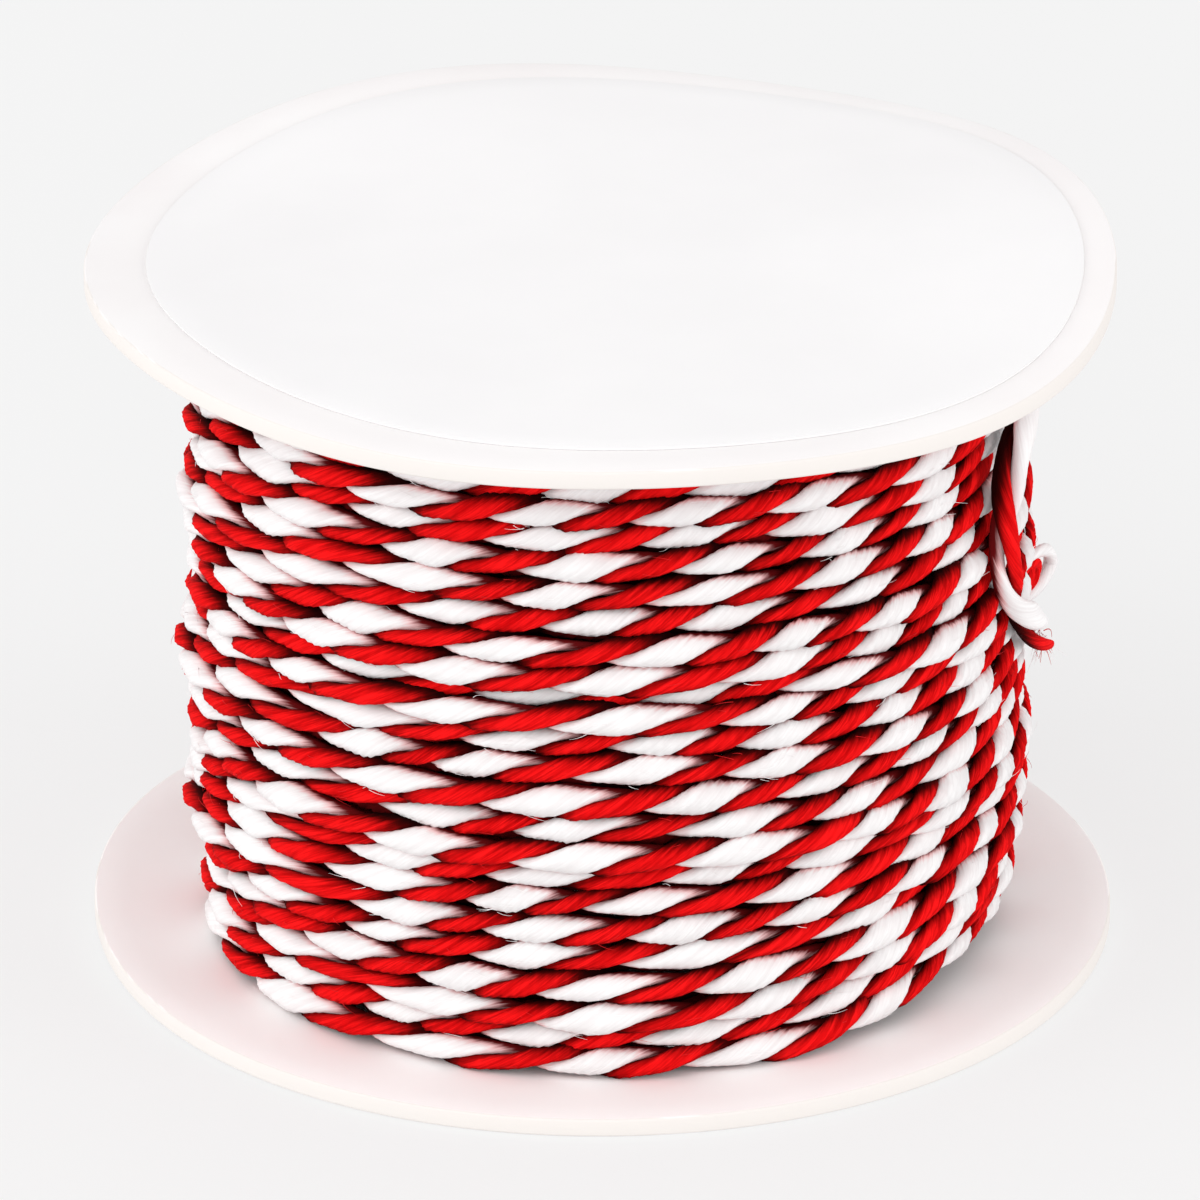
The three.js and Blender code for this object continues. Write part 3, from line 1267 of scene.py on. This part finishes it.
@dataclass
class LooseEnd:
    """The short end that comes off the top turn and lies down over the others.

    Its strands thin out and part from each other along its tail. The rows of tucked are angle, radius and
    height.
    """

    steps: int = 150
    tuck_steps: int = 48
    tail_from: float = 0.88
    tail_thins: float = 0.6
    tail_parts: float = 0.25
    # how far the loose end's strands are lifted out of the painted hollow shade, in half diameters
    out_of_shade: float = 0.4
    lay: float = 1.5 * LAY
    tucked: Knots = (
        (132, 26.3, 45.0),
        (124, 27.6, 44.9),
        (116, 29.1, 44.8),
        (108, 30.0, 44.7),
        (100, LOOSE_END_RADIUS, 44.7),
        (99, LOOSE_END_RADIUS, 44.7),
    )
    strands: tuple[Strand, ...] = (
        Strand(Ply.WHITE, start=250, offset=0.56, half_width=0.86, half_depth=0.56, seed=41),
        Strand(Ply.RED, start=70, offset=0.58, half_width=0.72, half_depth=0.5, seed=42),
    )

    @staticmethod
    def route(count: int) -> np.ndarray:
        """Gives a smooth curve through the route's points.

        Args:
            count: Points wanted.

        Returns:
            The points, a row each.
        """
        knots = tuple((point.angle, LOOSE_END_RADIUS, point.height) for point in LOOSE_END_ROUTE)
        return smooth_line(round_spool(knots), count)

    @staticmethod
    def limit(angle: np.ndarray, height: np.ndarray) -> np.ndarray:
        """Says how far from the spool's axis the turns may reach, where the loose end beds into them.

        Args:
            angle: Angles round the spool.
            height: Heights, as many as angle.

        Returns:
            The limits.
        """
        line = LooseEnd.route(BED_POINTS)
        line_angle = np.degrees(np.arctan2(line[:, 0], -line[:, 1]))
        across = np.radians(angle[:, None] - line_angle[None, :]) * LOOSE_END_RADIUS
        away = np.hypot(across, height[:, None] - line[None, :, 2]).min(axis=1)
        return LOOSE_END_RADIUS - CORD_DIAMETER / 2 + BED_SLOPE * np.maximum(0, away - BED_EDGE)

    def build(self, finishes: dict[Ply, bpy.types.Material]) -> bpy.types.Object:
        """Args:
            finishes: The material of each strand.

        Returns:
            The finished object.
        """
        places = self.route(self.steps)
        lead = Lead.through(places, places * (0, 0, 1))
        share = lead.along / lead.along[-1]
        tail = np.maximum(0, share - self.tail_from) / (1 - self.tail_from)
        swell = 1 - self.tail_thins * tail**2
        spread = self.tail_parts * tail
        made = self.twisted("loose_end", lead, lead.along / self.lay, finishes, swell, spread)
        made.name = "loose_end_cord"
        carry(made, "loose_end")
        return made

    def tuck(self, finishes: dict[Ply, bpy.types.Material]) -> bpy.types.Object:
        """Makes the bit of the last turn that dives in under its neighbours, where the loose end comes from.

        Args:
            finishes: The material of each strand.

        Returns:
            The finished object.
        """
        places = smooth_line(round_spool(self.tucked), self.tuck_steps)
        lead = Lead.through(places, places * (0, 0, 1))
        exit_at = np.linalg.norm(places - self.route(self.steps)[0], axis=1).argmin()
        turns = (lead.along - lead.along[exit_at]) / self.lay
        made = self.twisted("tucked_turn", lead, turns, finishes)
        made.name = "tucked_turn"
        carry(made, "winding")
        return made

    def twisted(
        self,
        name: str,
        lead: Lead,
        turns: np.ndarray,
        finishes: dict[Ply, bpy.types.Material],
        swell: np.ndarray | float = 1.0,
        spread: np.ndarray | float = 0.0,
    ) -> bpy.types.Object:
        """Makes both strands along a lead as one mesh.

        Args:
            name: The start of the strands' names.
            lead: The cord's centreline.
            turns: How many times the strands have gone round each other, at each point.
            finishes: The material of each strand.
            swell: The strands' thickness as a share of their usual one.
            spread: How much further they lie from the centreline.

        Returns:
            The joined object.
        """
        made = []
        for strand in self.strands:
            part = f"{name}_{strand.ply.value}"
            finish = finishes[strand.ply]
            tube = strand.tube(part, lead, turns, LOOSE_SIDES, finish, swell, spread, -self.out_of_shade)
            made.append(tube)
        joined = {"active_object": made[0], "selected_editable_objects": made, "selected_objects": made}
        with bpy.context.temp_override(**joined):
            bpy.ops.object.join()
        return made[0]

    def frayed(self) -> Fibres:
        """Gives the fibres that fan out of the cut tip, not built yet."""
        return FrayedTip().at_end(self.route(self.steps))


@dataclass
class PulledPly:
    """A strand that has been pulled out of the turns and stands off as a small loop.

    Its knots are rows of angle, radius and height.
    """

    name: str
    ply: Ply
    thickness: float
    knots: Knots
    steps: int = 60
    flatness: float = 0.85
    # how far the loop is lifted out of the painted hollow shade, in half diameters
    out_of_shade: float = 1.0
    seed: int = 52

    def build(self, finishes: dict[Ply, bpy.types.Material]) -> bpy.types.Object:
        """Makes the loop as one thin strand.

        Args:
            finishes: The material of each strand.

        Returns:
            The finished object.
        """
        places = smooth_line(round_spool(self.knots), self.steps)
        lead = Lead.through(places, places * (0, 0, 1))
        half = self.thickness / 2
        strand = Strand(
            self.ply, start=0, offset=0.0, half_width=half, half_depth=half * self.flatness, seed=self.seed
        )
        turns = lead.along / LAY
        finish = finishes[self.ply]
        obj = strand.tube(self.name, lead, turns, PULLED_SIDES, finish, shade_depth=-self.out_of_shade)
        carry(obj, "winding")
        return obj


PULLED = (
    PulledPly(
        "pulled_loop_white",
        Ply.WHITE,
        thickness=0.95,
        knots=(
            (80, 28.4, 27.7),
            (85, 29.4, 28.0),
            (89, 30.5, 27.4),
            (90.5, 30.7, 26.2),
            (88, 30.0, 25.2),
            (83, 28.6, 24.8),
        ),
    ),
    PulledPly(
        "pulled_loop_red",
        Ply.RED,
        thickness=0.75,
        knots=(
            (79, 28.4, 26.9),
            (83.5, 29.2, 27.4),
            (87, 29.8, 26.8),
            (87, 29.6, 25.9),
            (82, 28.4, 25.4),
        ),
    ),
)


@dataclass(frozen=True)
class Lamp:
    """One square soft light, turned to the spool's foot."""

    name: str
    place: tuple[float, float, float]
    size: float
    power: float


@dataclass
class Studio:
    """A plain pale floor, soft light and the camera at the photograph's angle."""

    aim: tuple[float, float, float] = (-0.098, 0.0, 23.6)
    distance: float = 1125.9
    elevation: float = 24.61
    roll: float = -0.2
    focal_length: float = 493.8
    sensor: float = 36.0
    floor_half: float = 3000.0
    floor_drop: float = 0.02
    floor_grey: float = 0.28
    floor_glow: float = 0.605
    room_glow: float = 0.82
    lamps: tuple[Lamp, ...] = (
        Lamp("key", place=(-800.0, -1000.0, 1500.0), size=900.0, power=4.2),
        Lamp("fill", place=(-300.0, -2200.0, 800.0), size=1300.0, power=9.6),
        Lamp("right side", place=(1500.0, -600.0, 500.0), size=900.0, power=9.0),
        Lamp("left side", place=(-1600.0, -500.0, 500.0), size=900.0, power=9.0),
    )

    def camera(self) -> bpy.types.Object:
        """Places the camera and makes it the scene's own.

        Returns:
            The camera.
        """
        data = bpy.data.cameras.new("camera")
        data.lens = self.focal_length
        data.sensor_width = self.sensor
        data.clip_end = 100.0
        camera = bpy.data.objects.new("camera", data)
        bpy.context.scene.collection.objects.link(camera)
        rise = math.radians(self.elevation)
        back = Vector((0, -math.cos(rise), math.sin(rise))) * self.distance
        camera.location = (Vector(self.aim) + back) * MM
        camera.rotation_euler = (-back).to_track_quat("-Z", "Y").to_euler()
        camera.rotation_euler.rotate_axis("Z", math.radians(self.roll))
        bpy.context.scene.camera = camera
        return camera

    def floor(self) -> bpy.types.Object:
        """Lays the floor.

        Returns:
            The floor.
        """
        bm = bmesh.new()
        bmesh.ops.create_grid(bm, x_segments=2, y_segments=2, size=self.floor_half * MM)
        bmesh.ops.translate(bm, verts=bm.verts, vec=(0, 0, -self.floor_drop * MM))
        made = bpy.data.materials.new("floor paper")
        made.use_nodes = True
        nodes = Nodes(made.node_tree)
        shader = nodes.add(
            "BsdfPrincipled",
            {
                "Base Color": (self.floor_grey, self.floor_grey, self.floor_grey, 1),
                "Roughness": 0.95,
                "Specular IOR Level": 0.0,
                "Emission Color": (1, 1, 1, 1),
                "Emission Strength": self.floor_glow,
            },
        )
        nodes.add("OutputMaterial", {0: shader.outputs[0]})
        obj = finished("floor", bm, made)
        return obj

    def light(self) -> None:
        """Hangs the lamps and sets the surrounding light."""
        for lamp in self.lamps:
            data = bpy.data.lights.new(lamp.name, "AREA")
            data.size = lamp.size * MM
            data.energy = lamp.power
            obj = bpy.data.objects.new(lamp.name, data)
            obj.location = Vector(lamp.place) * MM
            obj.rotation_euler = (-Vector(lamp.place)).to_track_quat("-Z", "Y").to_euler()
            bpy.context.scene.collection.objects.link(obj)
        bpy.context.scene.view_settings.view_transform = "Standard"
        world = bpy.data.worlds.new("studio")
        bpy.context.scene.world = world
        world.use_nodes = True
        nodes = Nodes(world.node_tree)
        glow = nodes.add("Background", {"Color": (1, 1, 1, 1), "Strength": self.room_glow})
        nodes.add("OutputWorld", {0: glow.outputs[0]})


def main() -> None:
    """Places the camera, builds the cord, the card and the studio."""
    logging.basicConfig(level=logging.INFO, format="%(name)s: %(message)s")
    studio = Studio()
    studio.camera()
    fibres = fibre_group()
    pulp = pulp_group()
    yarns = {Ply.WHITE: WHITE_YARN.material(fibres), Ply.RED: RED_YARN.material(fibres)}
    singles = {Ply.WHITE: WHITE_FIBRES.material(pulp), Ply.RED: RED_FIBRES.material(pulp)}
    loose = LooseEnd()
    log.info("loose end: %s", loose.build(yarns).name)
    log.info("its start: %s", loose.tuck(yarns).name)
    log.info("its tip: %s", loose.frayed().build(singles).name)
    wound = WoundCord()
    for obj in wound.build(yarns):
        log.info("wound cord: %s, %d faces", obj.name, len(obj.data.polygons))
    log.info("fuzz: %s, %d threads", wound.fuzz.build(singles).name, len(wound.fuzz.threads))
    for ply in PULLED:
        log.info("pulled strand: %s", ply.build(yarns).name)
    card, lower_card, paper = (finish.material(pulp) for finish in (CARD, LOWER_CARD_PAINTED_LIGHTER, PAPER))
    # The lower plate takes the card that is painted lighter.
    for plate, finish in zip(PLATES, (lower_card, card, paper)):
        log.info("plate: %s", plate.build(finish).name)
    studio.floor()
    studio.light()


if __name__ == "__main__":
    main()
